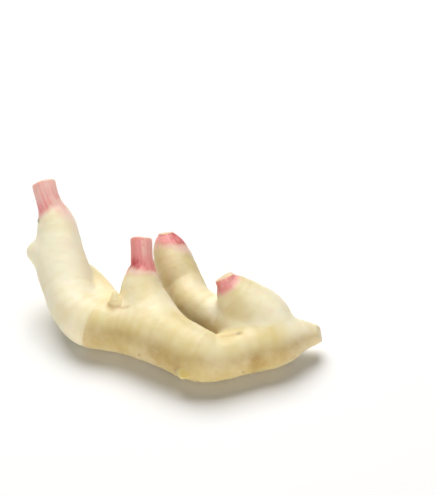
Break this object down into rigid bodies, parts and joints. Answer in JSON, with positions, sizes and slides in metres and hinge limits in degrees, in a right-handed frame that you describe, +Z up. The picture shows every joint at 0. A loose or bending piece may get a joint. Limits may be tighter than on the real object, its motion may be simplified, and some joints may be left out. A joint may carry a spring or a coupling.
{
  "type": "ginger root",
  "caption": "Fresh hand of young ginger: a stout main rhizome with branching fingers and pink cut shoot stubs, lying on a surface.",
  "frame": {"origin": "under the middle of the hand's bounding box, on the surface that it rests on", "axes": "+X along the main rhizome towards its broken end, +Y towards the fingers' tips, +Z up"},
  "size_m": [0.1521, 0.1002, 0.0618],
  "materials": {
    "ginger_skin": "thin pale skin, satin, pink at the shoot stubs"
  },
  "bodies": {
    "root": {"rhizome": "ginger_skin"}
  },
  "joints": []
}
